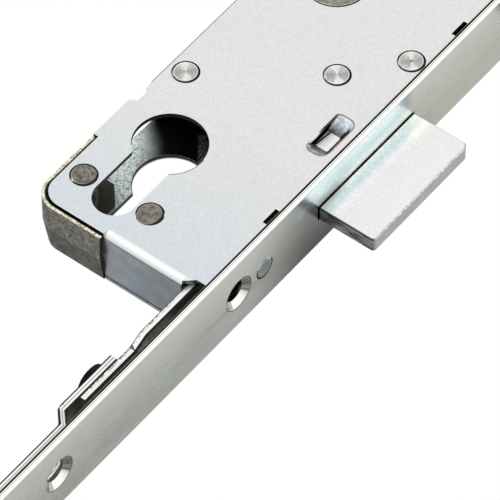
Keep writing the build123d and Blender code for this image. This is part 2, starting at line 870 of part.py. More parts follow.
def hook(pivot):
    """Hook bolt in its thrown place, with the slot for its drive pin."""
    half = hook_thickness / 2
    tip_start = hook_reach - hook_tip_width
    points = [
        (0, -hook_throat),
        (tip_start, -hook_throat),
        (tip_start, -hook_tip_drop),
        (hook_reach, -hook_tip_drop),
        (hook_reach, hook_hub_radius),
        (0, hook_hub_radius),
    ]
    radii = [0, hook_round, hook_round, hook_round, hook_hub_radius, 0]
    body = plate(points, radii, -half, half) + rod_along_y(hook_hub_radius, 0, 0, -half, half)
    lever = hook_pin_lever * math.sqrt(2)
    arm = block((0, lever), (-half, half), (-hook_lobe_radius, hook_lobe_radius))
    arm += rod_along_y(hook_lobe_radius, lever, 0, -half, half)
    slot_half = hook_pin_radius + hook_slot_play
    across = (-half - overrun, half + overrun)
    slot = block((hook_pin_lever, lever), across, (-slot_half, slot_half))
    for x in (hook_pin_lever, lever):
        slot += rod_along_y(slot_half, x, 0, *across)
    body += turned(arm, -hook_turn / 2, 0, 0)
    body -= turned(slot, -hook_turn / 2, 0, 0)
    body -= rod_along_y(hook_pivot_radius + pivot_fit, 0, 0, *across)
    return one_solid(Pos(hook_pivot_x, 0, pivot) * body)


def hook_pin_height(pivot):
    """Height of the drive pin at rest."""
    return pivot - drive_travel / 2


def hook_lugs(pivot):
    """Two ears on the drive bar, either side of the hook, that hold the drive pin."""
    height = hook_pin_height(pivot)
    pin_x = hook_pivot_x + hook_pin_lever
    lugs = []
    for side in (-1, 1):
        inner = side * lug_start
        outer = side * (lug_start + lug_thickness)
        foot_edge = side * (lug_start + lug_foot_width)
        lug = block((lug_back, bar_rear), (inner, outer), (height - lug_half, height + lug_half))
        lug += block(
            (bar_rear - lug_foot_thickness, bar_rear),
            (inner, foot_edge),
            (height - lug_foot_half, height + lug_foot_half),
        )
        low, high = sorted((inner - side * overrun, outer + side * overrun))
        lug -= rod_along_y(hook_pin_radius + rivet_gap, pin_x, height, low, high)
        lugs.append(one_solid(lug))
    return Compound(children=lugs)


def hook_drive_pin(pivot):
    """Pin across the two ears."""
    end = lug_start + lug_thickness
    return rod_along_y(hook_pin_radius, hook_pivot_x + hook_pin_lever, hook_pin_height(pivot), -end, end)


def hook_case(pivot):
    """Channel behind the faceplate that carries one hook: back, far side and both ends."""
    low = pivot - hook_case_low
    high = pivot + hook_case_high
    depth = (cover_inner + sheet_gap, far_face)
    body = block((hook_case_back, hook_case_front), (tray_inner, far_face), (low, high))
    body += block((hook_case_back, hook_case_back + sheet), depth, (low, high))
    for z in (low, high - sheet):
        body += block((hook_case_back, hook_case_front), depth, (z, z + sheet))
    body -= rod_along_y(
        hook_pivot_radius + rivet_gap, hook_pivot_x, pivot, tray_inner - overrun, far_face + overrun
    )
    return one_solid(body)


def hook_cover(pivot):
    """Near side of a hook case."""
    low = pivot - hook_case_low
    high = pivot + hook_case_high
    body = block((hook_case_back, hook_case_front), (near_face, cover_inner), (low, high))
    return body - rod_along_y(
        hook_pivot_radius + rivet_gap, hook_pivot_x, pivot, near_face - overrun, cover_inner + overrun
    )


def hook_case_feet(pivot):
    """Blocks at both ends of a hook case, with shanks riveted through the faceplate."""
    feet = []
    low = pivot - hook_case_low
    high = pivot + hook_case_high
    limits = ((low - hook_foot_length, low), (high, high + hook_foot_length))
    for (z_low, z_high), stud in zip(limits, hook_stud_heights(pivot)):
        foot = block((hook_foot_back, bar_rear - bar_gap), (cover_inner, tray_inner), (z_low, z_high))
        feet.append(one_solid(foot + rod_along_x(stud_radius, stud, hook_foot_back, backset)))
    return Compound(children=feet)


def hook_pivot(pivot):
    """Pivot pin across a hook case."""
    return rod_along_y(hook_pivot_radius, hook_pivot_x, pivot, near_face, far_face)


def roller(height):
    """Roller in front of the faceplate."""
    start = backset + roller_gap
    body = rod_along_x(roller_radius, height, start, start + roller_length)
    body = chamfer(body.edges().filter_by(GeomType.CIRCLE), roller_edge)
    return body - rod_along_x(
        roller_pin_radius + roller_fit, height, start - overrun, start + roller_length + overrun
    )


def roller_pin(height):
    """Pin on the drive bar that passes the faceplate and carries the roller."""
    end = backset + roller_gap + roller_length + roller_flange_gap
    body = rod_along_x(roller_pin_radius, height, bar_rear, end)
    body += rod_along_x(roller_head_radius, height, bar_rear - roller_head, bar_rear)
    flange = rod_along_x(roller_flange_radius, height, end, end + roller_flange)
    return one_solid(body + flange)


def biarc(start, start_way, finish, finish_way):
    """Two arcs that join two points in space with the given directions."""
    chord = finish - start
    both = start_way + finish_way
    gap = 2 * (1 - start_way.dot(finish_way))
    along = chord.dot(both)
    reach = (math.sqrt(along**2 + gap * chord.dot(chord)) - along) / gap
    joint = (start + finish + (start_way - finish_way) * reach) / 2
    first = TangentArc(start, joint, tangent=start_way)
    return [first, TangentArc(joint, finish, tangent=first % 1)]


def coil(radius, pitch, turns, place):
    """Edges of a helix in quarter turns, placed by a function from its own axes to the lock's."""
    steps = turns * 4
    edges = []

    def at(step):
        angle = math.radians(90 * step)
        return place(radius * math.cos(angle), radius * math.sin(angle), pitch * step / 4)

    def way(step):
        angle = math.radians(90 * step)
        rise = pitch / math.tau
        tip = place(-radius * math.sin(angle), radius * math.cos(angle), rise)
        return (tip - place(0, 0, 0)).normalized()

    for step in range(steps):
        edges += biarc(at(step), way(step), at(step + 1), way(step + 1))
    return edges


def wire_along(edges, wire):
    """Round wire swept along joined edges."""
    path = Wire(edges)
    section = Plane(origin=path @ 0, z_dir=path % 0) * Circle(wire / 2)
    return sweep(section, path)


def latch_spring():
    """Compression spring between the back wall and the latch head."""
    start = case_back + sheet + latch_spring_wire
    length = latch_back - latch_spring_wire - start
    pitch = length / latch_spring_turns

    def place(a, b, c):
        return Vector(start + c, a, latch_spring_height + b)

    print("latch spring gap", round(pitch - latch_spring_wire, 2))
    return wire_along(coil(latch_spring_radius, pitch, latch_spring_turns, place), latch_spring_wire)


def latch_spring_peg():
    """Peg on the back wall inside the spring."""
    start = case_back + sheet
    return Pos(start + spring_peg_length / 2, 0, latch_spring_height) * Rot(0, 90, 0) * Cylinder(
        spring_peg_radius, spring_peg_length
    )


def follower_spring():
    """Coil round the hub with one leg along the back wall."""
    start = cover_inner + follower_spring_gap + follower_spring_wire / 2

    def place(a, b, c):
        return Vector(-a, start + c, follower_height + b)

    edges = coil(follower_spring_radius, follower_spring_pitch, follower_spring_turns, place)
    first = place(follower_spring_radius, 0, 0)
    way = -(edges[0] % 0)
    leg = Line(first + way * follower_spring_radius, first)
    print("follower spring gap", round(follower_spring_pitch - follower_spring_wire, 2))
    return wire_along([leg] + edges, follower_spring_wire)


def tumbler_spring():
    """Bent wire from the rear post up over the tumbler."""
    y = tumbler_far_face - tumbler_thickness / 2
    top = tumbler_post_z + tumbler_arm_half + tumbler_spring_wire
    left = rear_post_x - tumbler_pin_radius - tumbler_spring_wire / 2
    path = FilletPolyline(
        (left, y, rear_post_z - tumbler_pin_radius),
        (left, y, rear_post_z + tumbler_spring_rise),
        (peg_x - tumbler_arm_half, y, peg_z + tumbler_arm_half + tumbler_spring_wire),
        (peg_x + tumbler_spring_swing, y, top),
        radius=tumbler_arm_half,
    )
    section = Plane(origin=path @ 0, z_dir=path % 0) * Circle(tumbler_spring_wire / 2)
    return sweep(section, path)


def build():
    """Every node of the lock by name."""
    nodes = {
        "faceplate": faceplate(),
        "case_cover": case_cover(),
        "case_tray": case_tray(),
        "corner_bracket": corner_bracket(),
        "corner_rivets": Compound(children=[through_post(x, z) for x, z in corner_posts]),
        "roof_rivets": Compound(children=[through_post(x, z) for x, z in roof_posts]),
        "spring_post": short_post(rear_post_x, rear_post_z, tumbler_pin_radius, tumbler_far_face),
        "tumbler_post": short_post(tumbler_post_x, tumbler_post_z, tumbler_pin_radius, tumbler_far_face),
        "slide_guide_post": short_post(
            guide_post_x, guide_post_z, post_radius, gear_near - bolt_gap
        ),
        "case_studs": case_studs(),
        "deadbolt": deadbolt(),
        "tumbler": tumbler(),
        "tumbler_spring": tumbler_spring(),
        "latch_bolt": latch(),
        "latch_spring": latch_spring(),
        "latch_spring_peg": latch_spring_peg(),
        "follower_hub": follower_hub(),
        "follower_sector": follower_sector(),
        "follower_spring": follower_spring(),
        "drive_slide": drive_slide(),
        "splice_rivets": splice_rivets(),
    }
    for which, pivot in hook_heights.items():
        nodes[f"drive_bar_{which}"] = drive_bar(which)
        nodes[f"hook_{which}"] = hook(pivot)
        nodes[f"hook_lugs_{which}"] = hook_lugs(pivot)
        nodes[f"hook_drive_pin_{which}"] = hook_drive_pin(pivot)
        nodes[f"hook_case_{which}"] = hook_case(pivot)
        nodes[f"hook_case_cover_{which}"] = hook_cover(pivot)
        nodes[f"hook_case_feet_{which}"] = hook_case_feet(pivot)
        nodes[f"hook_pivot_{which}"] = hook_pivot(pivot)
    for which, height in roller_heights.items():
        nodes[f"roller_{which}"] = roller(height)
        nodes[f"roller_pin_{which}"] = roller_pin(height)
    return nodes


os.makedirs("parts", exist_ok=True)
for name, shape in build().items():
    export_step(shape, f"parts/{name}.step")
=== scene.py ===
import math

import bmesh
import bpy
from mathutils import Matrix, Vector


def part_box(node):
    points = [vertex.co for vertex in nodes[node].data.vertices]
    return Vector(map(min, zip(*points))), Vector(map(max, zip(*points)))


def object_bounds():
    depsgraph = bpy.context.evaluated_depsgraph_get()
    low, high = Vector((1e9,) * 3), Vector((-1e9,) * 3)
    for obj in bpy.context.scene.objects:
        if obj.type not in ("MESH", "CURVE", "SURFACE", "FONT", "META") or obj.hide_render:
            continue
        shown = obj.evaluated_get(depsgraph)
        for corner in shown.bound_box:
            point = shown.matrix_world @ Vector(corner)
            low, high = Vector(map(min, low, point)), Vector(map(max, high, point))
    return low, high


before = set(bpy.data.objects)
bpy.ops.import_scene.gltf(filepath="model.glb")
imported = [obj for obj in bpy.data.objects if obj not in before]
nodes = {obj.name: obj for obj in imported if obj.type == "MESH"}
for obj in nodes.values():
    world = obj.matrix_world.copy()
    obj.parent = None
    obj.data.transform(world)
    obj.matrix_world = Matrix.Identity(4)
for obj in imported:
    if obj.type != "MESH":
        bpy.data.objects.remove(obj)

cad_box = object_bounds()
MM = 0.001

# Lengths are in millimetres in the object's frame: x runs out along the bolts, z up the door's
# edge, the cover faces -y, and the origin is on the cylinder's axis. Colours are linear RGB.
WHITE = (1.0, 1.0, 1.0)
BLACK_LINE = (0.012, 0.012, 0.012)
CUT_WALL = (0.2, 0.35)          # |normal y| below which a face is a cut wall, with its fade
HOLE_RADIUS = 8.9               # round part of the cylinder hole
HOLE_HEIGHTS = (-26.3, 9.3)     # heights that take in the whole cylinder hole
WINDOW_X = (24.3, 31.5)         # pressed window of the cover
WINDOW_Z = (15.5, 33.5)
WINDOW_MIDDLE = 24.3            # height of the window's middle
WINDOW_FLOOR = 2.5              # half the height of its flat floor
FLANGE_TOP = -27.0              # where the cover's foot turns into its flange
SCREW_HEIGHTS = (-340.0, -174.0, -83.1, -19.6, 200.0, 398.0)
SCREW_CONE = 4.6                # radius of the faceplate's countersinks
SCREW_BORE = 2.8                # radius of their bores
BRACKET_ROUND = 6.2             # radius of the bracket's rounded corner


class Wiring:
    """Adds nodes to one node tree and links them."""

    def __init__(self, tree):
        self.tree = tree

    def node(self, kind, **settings):
        made = self.tree.nodes.new(kind)
        for key, value in settings.items():
            setattr(made, key, value)
        return made

    def link(self, source, target):
        """Links an output, or sets a number or colour, on an input."""
        if hasattr(source, "links"):
            self.tree.links.new(source, target)
        elif isinstance(source, (tuple, list)) and len(source) == 3 and target.type == "RGBA":
            target.default_value = (*source, 1)
        else:
            target.default_value = source

    def math(self, operation, a, b=0.0, **settings):
        made = self.node("ShaderNodeMath", operation=operation, **settings)
        self.link(a, made.inputs[0])
        self.link(b, made.inputs[1])
        return made.outputs[0]

    def fold(self, operation, values):
        """One value from several, taken in turn."""
        total = values[0]
        for value in values[1:]:
            total = self.math(operation, total, value)
        return total

    def times(self, *values):
        return self.fold("MULTIPLY", values)

    def plus(self, *values):
        return self.fold("ADD", values)

    def minus(self, a, b):
        return self.math("SUBTRACT", a, b)

    def divide(self, a, b):
        return self.math("DIVIDE", a, b)

    def size(self, value):
        return self.math("ABSOLUTE", value)

    def ramp(self, source, low, high, out_low=0.0, out_high=1.0, smooth=False):
        """Runs from out_low to out_high while the source runs from low to high."""
        made = self.node("ShaderNodeMapRange", clamp=True)
        made.interpolation_type = "SMOOTHSTEP" if smooth else "LINEAR"
        for index, value in enumerate((low, high, out_low, out_high), 1):
            made.inputs[index].default_value = value
        self.link(source, made.inputs[0])
        return made.outputs[0]

    def over(self, source, low, high, *settings):
        """A ramp over a length, with low and high in millimetres."""
        return self.ramp(source, low * MM, high * MM, *settings)

    def band(self, source, low, high, soft):
        """1 where a length lies between low and high, with soft borders, in millimetres."""
        rise = self.over(source, low - soft, low + soft)
        fall = self.over(source, high - soft, high + soft, 1.0, 0.0)
        return self.times(rise, fall)

    def mix(self, factor, a, b):
        made = self.node("ShaderNodeMix", data_type="RGBA")
        self.link(factor, made.inputs[0])
        self.link(a, made.inputs[6])
        self.link(b, made.inputs[7])
        return made.outputs[2]


class Graph(Wiring):
    """The node tree of one new material, with its place and normal in the object's frame."""

    def __init__(self, name):
        self.material = bpy.data.materials.new(name)
        self.material.use_nodes = True
        super().__init__(self.material.node_tree)
        self.shader = self.tree.nodes["Principled BSDF"]
        coordinates = self.node("ShaderNodeTexCoord")
        self.place = coordinates.outputs["Object"]
        self.way = coordinates.outputs["Normal"]

    def set(self, name, source):
        self.link(source, self.shader.inputs[name])

    def axes(self, source):
        made = self.node("ShaderNodeSeparateXYZ")
        self.link(source, made.inputs[0])
        return made.outputs

    def noise(self, scale, detail=3.0, rough=0.55, stretch=(1, 1, 1), distortion=0.0):
        """Noise of the place, with a stretch along the axes whose factor is below 1."""
        scaled = self.node("ShaderNodeVectorMath", operation="MULTIPLY")
        self.link(self.place, scaled.inputs[0])
        scaled.inputs[1].default_value = stretch
        made = self.node("ShaderNodeTexNoise")
        self.link(scaled.outputs[0], made.inputs["Vector"])
        made.inputs["Scale"].default_value = scale
        made.inputs["Detail"].default_value = detail
        made.inputs["Roughness"].default_value = rough
        made.inputs["Distortion"].default_value = distortion
        return made.outputs["Fac"]

    def bump(self, *heights):
        """Bumps from (height, distance in millimetres, strength) triples, one on the other."""
        last = None
        for height, distance, strength in heights:
            made = self.node("ShaderNodeBump")
            made.inputs["Distance"].default_value = distance * MM
            made.inputs["Strength"].default_value = strength
            self.link(height, made.inputs["Height"])
            if last is not None:
                self.link(last, made.inputs["Normal"])
            last = made.outputs[0]
        self.link(last, self.shader.inputs["Normal"])


# Zinc-plated sheet: cover, tray, hook cases and hooks

def zinc_sheet(name, tint=(0.83, 0.815, 0.80), cool=(0.70, 0.755, 0.79), rough=0.33, specks=True):
    """Bright zinc plating on sheet: fine grain, soft cloudy tone, a few dark specks."""
    g = Graph(name)
    height = g.axes(g.place)[2]
    drift = g.plus(height, g.times(g.noise(28, 3), 0.03))
    colour = g.mix(g.ramp(drift, -0.022, 0.035, 1.0, 0.0, True), tint, cool)
    cloud = g.ramp(g.noise(55, 4, 0.6), 0.42, 0.7, 0.0, 0.35)
    colour = g.mix(cloud, colour, cool)
    grain = g.noise(2300, 2, 0.7)
    colour = g.mix(g.ramp(grain, 0.35, 0.75, 0.0, 0.32), colour, (0.44, 0.45, 0.46))
    glints = g.ramp(g.noise(1300, 2, 0.6), 0.55, 0.75, 0.0, 0.3)
    colour = g.mix(glints, colour, (0.95, 0.95, 0.95))
    if specks:
        spot = g.ramp(g.noise(620, 1, 0.4, (1, 1, 1.6)), 0.775, 0.80, 0.0, 0.6)
        patch = g.ramp(g.noise(60, 1), 0.5, 0.6)
        colour = g.mix(g.times(spot, patch), colour, (0.16, 0.15, 0.14))
    return g, colour, grain, rough


def finish_sheet(g, colour, grain, rough, dim=None):
    """Sets the shader of a zinc sheet, with an optional duller zone."""
    shine = g.ramp(g.noise(260, 4), 0.3, 0.7, rough - 0.05, rough + 0.09)
    if dim is not None:
        shine = g.plus(shine, g.times(dim, 0.15))
    g.set("Base Color", colour)
    g.set("Metallic", 1.0)
    g.set("Roughness", shine)
    g.bump((grain, 0.02, 0.3), (g.noise(420, 3), 0.03, 0.2), (g.noise(70, 2), 0.25, 0.06))
    return g.material


def plain_sheet(name, *settings):
    """Zinc sheet with no special zone."""
    return finish_sheet(*zinc_sheet(name, *settings))


def pressed_window(g, colour):
    """Louvre of the cover: streaky slopes and side walls in painted light and shade, a bright
    floor.

    Returns the colour, the part that lies below the cover's face, and the whole window.
    """
    x, y, z = g.axes(g.place)
    nx, ny = g.axes(g.way)[:2]
    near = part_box("case_cover")[0].y / MM
    tall = g.band(z, *WINDOW_Z, 0.1)
    window = g.times(g.band(x, WINDOW_X[0] - 0.1, WINDOW_X[1], 0.05), tall)
    below = g.times(g.over(y, near + 0.15, near + 0.8), g.band(x, *WINDOW_X, 0.05), tall)

    away = g.size(g.minus(z, WINDOW_MIDDLE * MM))
    slope = g.over(away, WINDOW_FLOOR - 0.05, WINDOW_FLOOR + 0.1)
    # The slopes get painted light and shade: pale blotches, darkening to near black towards the
    # floor.
    blotch = g.noise(900, 4, 0.7)
    steel = g.mix(g.ramp(blotch, 0.35, 0.65), (0.40, 0.46, 0.53), (0.98, 1.0, 1.0))
    shade = g.over(g.plus(away, g.times(blotch, 2 * MM)), 3.3, 6.2, 1.0, 0.0)
    steel = g.mix(shade, steel, (0.045, 0.05, 0.055))
    colour = g.mix(g.times(below, slope), colour, steel)
    # A painted shade line along the top of the slopes, just below the cover's face.
    rim_shade_line = g.times(g.band(y, near + 0.06, near + 0.30, 0.05), window, slope, 0.8)
    colour = g.mix(rim_shade_line, colour, (0.10, 0.11, 0.12))

    level = g.ramp(g.size(ny), 0.85, 0.95)
    flat = g.over(away, WINDOW_FLOOR, WINDOW_FLOOR + 0.1, 1.0, 0.0)
    flat = g.times(below, level, flat)
    colour = g.mix(flat, colour, (1.0, 0.99, 0.96))
    lean = 0.12
    leaning = g.minus(x, g.times(z, lean))
    start, stop = (place - lean * WINDOW_MIDDLE for place in (24.62, 25.05))
    gap = g.times(flat, g.band(leaning, start, stop, 0.06))
    colour = g.mix(gap, colour, (0.03, 0.03, 0.03))

    side_wall = g.times(window, g.ramp(g.size(nx), 0.35, 0.5))
    # The right side wall is painted near black: painted shade.
    shaded_right_wall = g.times(side_wall, g.over(x, 25.4, 25.6), g.over(y, near + 0.9, near + 1.2))
    colour = g.mix(shaded_right_wall, colour, (0.02, 0.022, 0.025))
    # The left side wall gets a painted highlight below the window's middle and painted shade above
    # it.
    left_wall = g.times(side_wall, g.over(x, 24.8, 25.0, 1.0, 0.0))
    wall_light_and_shade = g.mix(g.over(z, 23.0, 24.5), (0.9, 0.9, 0.88), (0.16, 0.13, 0.12))
    return g.mix(left_wall, colour, wall_light_and_shade), below, window


def folded_flange(g, colour):
    """Flange at the cover's foot: bluish, a scratch, a painted highlight band and fold, painted
    light and shade.
    """
    x, y, z = g.axes(g.place)
    wall = g.times(g.over(z, FLANGE_TOP - 0.4, FLANGE_TOP, 1.0, 0.0), g.over(y, -6.2, -5.6))
    blue = g.mix(g.ramp(g.noise(300, 4), 0.35, 0.7), (0.66, 0.73, 0.79), (0.58, 0.65, 0.71))
    wavy_x = g.plus(x, g.times(g.noise(160, 2), 0.6 * MM))
    scratch = g.times(g.band(wavy_x, 15.3, 15.42, 0.04), g.band(y, -2.5, 2.2, 0.6), 0.6)
    blue = g.mix(scratch, blue, (0.2, 0.22, 0.24))
    # A pale band across the flange: a painted highlight.
    blue = g.mix(g.times(g.band(y, -4.9, -3.6, 0.5), 0.45), blue, (0.86, 0.85, 0.82))
    # Painted light at the flange's end away from the faceplate and painted shade towards the
    # faceplate.
    blue = g.mix(g.over(x, 4, 14, 0.5, 0.0), blue, (0.86, 0.88, 0.88))
    blue = g.mix(g.over(x, 12, 27, 0.0, 0.45), blue, (0.34, 0.36, 0.345))
    colour = g.mix(wall, colour, blue)
    # A white painted highlight along the fold.
    low_part = g.over(z, FLANGE_TOP - 0.9, FLANGE_TOP - 0.6, 1.0, 0.0)
    fold = g.times(g.band(y, -7.95, -6.6, 0.25), low_part, g.over(x, 4, 5))
    return g.mix(fold, colour, WHITE)


def cover_sheet(name):
    """Cover plate: zinc with the pressed window, dark cut edges partly in painted shade, and the
    folded flange.
    """
    g, colour, grain, rough = zinc_sheet(name)
    x, y, z = g.axes(g.place)
    # Cut walls are painted near black: partly the sheared edge's own colour, partly painted shade.
    sheared = g.ramp(g.size(g.axes(g.way)[1]), *CUT_WALL, 1.0, 0.0)
    colour, below, window = pressed_window(g, colour)
    colour = g.mix(g.times(sheared, g.minus(1.0, window)), colour, (0.035, 0.035, 0.033))

    # A dark arc on the cover's face beside the hole's rim: painted shade.
    radius_squared = g.plus(g.times(x, x), g.times(z, z))
    inner, outer = (((HOLE_RADIUS + gap) * MM) ** 2 for gap in (0.18, 0.28))
    arc = g.ramp(radius_squared, inner, outer, 1.0, 0.0)
    arc = g.times(arc, g.over(x, 4.8, 5.4), g.over(z, 0.6, 1.4, 0.75, 0.0))
    colour = g.mix(arc, colour, (0.10, 0.09, 0.085))

    colour = folded_flange(g, colour)
    # Cut walls near the flange's end by the faceplate are painted near black and mottled.
    dark_end_walls = g.times(g.band(x, 26.45, 33.0, 0.05), g.over(z, -26.6, -26.5, 1.0, 0.0))
    dark_end_walls = g.times(sheared, dark_end_walls, g.over(y, -5.6, -5.4, 1.0, 0.0))
    end_mottle = g.ramp(g.noise(900, 3, 0.7), 0.4, 0.6)
    colour = g.mix(dark_end_walls, colour, g.mix(end_mottle, (0.05, 0.055, 0.06), (0.22, 0.24, 0.25)))
    return finish_sheet(g, colour, grain, rough, below)


def tray_sheet(name):
    """Far plate of the case: zinc outside, dull inside with painted shade that darkens inwards."""
    g, colour, grain, rough = zinc_sheet(name, (0.76, 0.77, 0.77), (0.66, 0.71, 0.74), 0.36, False)
    x, y, z = g.axes(g.place)
    inner = g.over(y, 6.9, 7.0, 1.0, 0.0)
    # The inner face gets painted light and shade: pale low down, greyer lower still, near black
    # inwards and upwards.
    inward = g.plus(g.times(z, 0.9), x, g.times(g.noise(120, 4), 8 * MM))
    deep = g.over(inward, -6.5, 3.2, 0.0, 1.0, True)
    inside = g.mix(deep, (0.86, 0.95, 0.92), (0.012, 0.014, 0.018))
    low_end_shade = g.over(inward, -17, -9, 0.45, 0.0, True)
    inside = g.mix(low_end_shade, inside, (0.40, 0.45, 0.44))
    fleck = g.ramp(g.noise(1500, 3, 0.7), 0.45, 0.65, 0.0, 0.75)
    inside = g.mix(g.times(fleck, g.minus(1.0, deep)), inside, (0.10, 0.13, 0.2))

    # A speckled patch beside the hole, bounded by two slanting lines.
    falling = g.plus(g.times(x, 6.98), g.times(z, 5.44))
    rising = g.minus(g.times(x, 4.24), g.times(z, 5.44))
    patch = g.times(g.over(falling, 53, 56), g.over(rising, -104, -101))
    speckle = g.ramp(g.noise(1900, 2, 0.7), 0.4, 0.6)
    inside = g.mix(patch, inside, g.mix(speckle, (0.05, 0.055, 0.05), (0.50, 0.52, 0.48)))
    colour = g.mix(inner, colour, inside)

    # The tray's near edges and the hole's wall get painted shade on their near half and are pale on
    # their far half.
    lip = g.over(y, -6.5, -6.3, 1.0, 0.0)
    start, stop = (((HOLE_RADIUS + gap) * MM) ** 2 for gap in (0.4, 0.6))
    near_hole = g.times(g.ramp(g.times(x, x), start, stop, 1.0, 0.0), g.band(z, *HOLE_HEIGHTS, MM))
    cut = g.times(g.ramp(g.size(g.axes(g.way)[1]), *CUT_WALL, 1.0, 0.0), near_hole)
    shade = g.mix(g.over(y, 7.45, 7.55), (0.03, 0.03, 0.03), (0.62, 0.63, 0.62))
    colour = g.mix(g.math("MAXIMUM", lip, cut), colour, shade)
    return finish_sheet(g, colour, grain, rough, inner)


def bolt_block(name, node, front, rooted):
    """Thick zinc bolt: bright faces, a bluish painted reflection at the root, sheared streaky
    sides, ragged tip edge.

    front is the faceplate's front face, and rooted is how much of the root's painted reflection
    shows.
    """
    g, colour, grain, rough = zinc_sheet(
        name, (0.92, 0.915, 0.91), (0.88, 0.89, 0.885), 0.26, False
    )
    x, y = g.axes(g.place)[:2]
    nx, ny, nz = g.axes(g.way)
    near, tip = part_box(node)[0].y / MM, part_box(node)[1].x / MM
    # A bluish painted reflection on the bolt's faces near its root.
    root = g.over(x, front + 2.2, front + 4.6, rooted, 0.0, True)
    fine = g.mix(g.ramp(g.noise(1500, 3), 0.4, 0.65), (0.54, 0.62, 0.64), (0.67, 0.74, 0.76))
    colour = g.mix(g.times(root, 0.95), colour, fine)

    # Side faces: sheared streaks, partly darkened by painted shade, with a black painted shade line
    # at the near edge.
    streak = g.ramp(g.noise(1900, 4, 0.75, (0.14, 1, 0.14)), 0.42, 0.58)
    side = g.mix(streak, (0.16, 0.165, 0.16), (0.74, 0.77, 0.74))
    side = g.mix(g.over(y, near + 0.42, near + 0.55, 1.0, 0.0), side, BLACK_LINE)
    colour = g.mix(g.ramp(g.size(nz), 0.6, 0.8), colour, side)
    end = g.ramp(g.noise(900, 3, 0.6, (1, 1, 0.4)), 0.35, 0.7)
    end = g.mix(end, (0.80, 0.81, 0.77), (0.63, 0.64, 0.60))
    colour = g.mix(g.ramp(nx, 0.6, 0.8), colour, end)
    # Chamfers are painted dark: painted shade.
    tilt = g.size(ny)
    corner = g.times(g.ramp(tilt, 0.25, 0.35), g.ramp(tilt, 0.88, 0.94, 1.0, 0.0))
    corner = g.times(corner, g.ramp(g.size(nz), 0.25, 0.4))
    colour = g.mix(corner, colour, (0.10, 0.11, 0.11))

    ragged = g.plus(x, g.times(g.noise(950, 2, 0.6, (1, 0.3, 1)), 0.6 * MM))
    face = g.ramp(tilt, 0.5, 0.7)
    chips = g.times(g.over(ragged, tip + 0.12, tip + 0.2), face, 0.75)
    crumb = g.mix(g.ramp(g.noise(1500, 2), 0.45, 0.55), (0.34, 0.36, 0.36), (0.97, 0.97, 0.96))
    colour = g.mix(chips, colour, crumb)
    outline = g.times(g.band(ragged, tip + 0.02, tip + 0.12, 0.05), face, 0.6)
    colour = g.mix(outline, colour, (0.12, 0.125, 0.12))
    joint = g.over(x, front + 0.32, front + 0.40, rooted, 0.0)
    colour = g.mix(joint, colour, BLACK_LINE)
    return finish_sheet(g, colour, grain, rough)


# Satin strip: faceplate, drive strips, rollers

def satin_strip(name, base, dark, rough=0.3, along=(1, 1, 0.02)):
    """Satin plated strip with streaks along the door edge."""
    g = Graph(name)
    streak = g.noise(800, 3, 0.6, along)
    broad = g.noise(75, 4, 0.6, (1, 1, 0.2))
    fleck = g.noise(1500, 2, 0.6, (1, 1, 0.25))
    colour = g.mix(g.ramp(streak, 0.3, 0.72, 0.0, 0.3), base, dark)
    colour = g.mix(g.ramp(broad, 0.45, 0.66, 0.0, 0.6, True), colour, dark)
    colour = g.mix(g.ramp(fleck, 0.56, 0.68, 0.0, 0.35), colour, (0.82, 0.83, 0.8))
    colour = g.mix(g.ramp(fleck, 0.46, 0.36, 0.0, 0.3), colour, dark)
    return g, colour, streak, fleck, rough


def finish_strip(g, colour, streak, fleck, rough):
    """Sets the shader of a satin strip."""
    g.set("Base Color", colour)
    g.set("Metallic", 1.0)
    g.set("Roughness", g.ramp(fleck, 0.3, 0.7, rough - 0.04, rough + 0.12))
    g.bump((streak, 0.02, 0.15), (g.noise(1800, 2), 0.015, 0.2))
    return g.material


def face_clouds(g, colour):
    """Faceplate's blotches and clouds, painted light at its near edge, painted shade and reflection
    by the deadbolt.
    """
    y, z = g.axes(g.place)[1:]
    blotch = g.noise(300, 4, 0.7, (1, 1, 0.35))
    colour = g.mix(g.ramp(blotch, 0.52, 0.68, 0.0, 0.45), colour, (0.52, 0.52, 0.45))
    colour = g.mix(g.ramp(blotch, 0.46, 0.32, 0.0, 0.5), colour, (0.80, 0.86, 0.86))
    cool = g.ramp(g.noise(38, 3, 0.5, (1, 1, 0.3)), 0.45, 0.65, 0.0, 0.55, True)
    colour = g.mix(cool, colour, (0.69, 0.73, 0.70))
    smear = g.noise(150, 4, 0.65, (1, 1, 0.12), 0.6)
    colour = g.mix(g.ramp(smear, 0.6, 0.74, 0.0, 0.5, True), colour, (0.40, 0.41, 0.38))
    olive = g.ramp(g.noise(24, 2, 0.5, (1, 1, 0.5)), 0.5, 0.7, 0.0, 0.5, True)
    colour = g.mix(olive, colour, (0.70, 0.69, 0.58))
    high = g.over(z, 34, 60, 0.0, 0.75, True)
    colour = g.mix(high, colour, (0.85, 0.85, 0.72))

    # Painted light: brighter towards the faceplate's near edge.
    across = g.plus(y, g.times(g.noise(60, 3, 0.6, (1, 1, 0.2)), 4 * MM))
    colour = g.mix(g.over(across, -7.5, 5.5, 0.95, 0.0), colour, (1.0, 0.99, 0.88))
    # Painted shade below the deadbolt, deepest towards the far edge.
    dim = g.times(
        g.over(across, -7.0, 11.0, 0.45, 1.0),
        g.over(z, -21, 9, 0.0, 0.97, True),
        g.over(z, 14, 24, 1.0, 0.0, True),
    )
    colour = g.mix(dim, colour, (0.11, 0.11, 0.095))
    # A bluish painted reflection of the deadbolt on the faceplate beside it.
    beside = g.times(g.band(z, 1.5, 44.0, 1.2), g.over(y, -6.0, -4.0, 1.0, 0.0), 0.85)
    colour = g.mix(beside, colour, (0.60, 0.69, 0.70))
    rust = g.ramp(g.noise(130, 3, 0.6), 0.55, 0.75, 0.0, 0.7, True)
    return g.mix(g.times(high, rust), colour, (0.80, 0.72, 0.58))


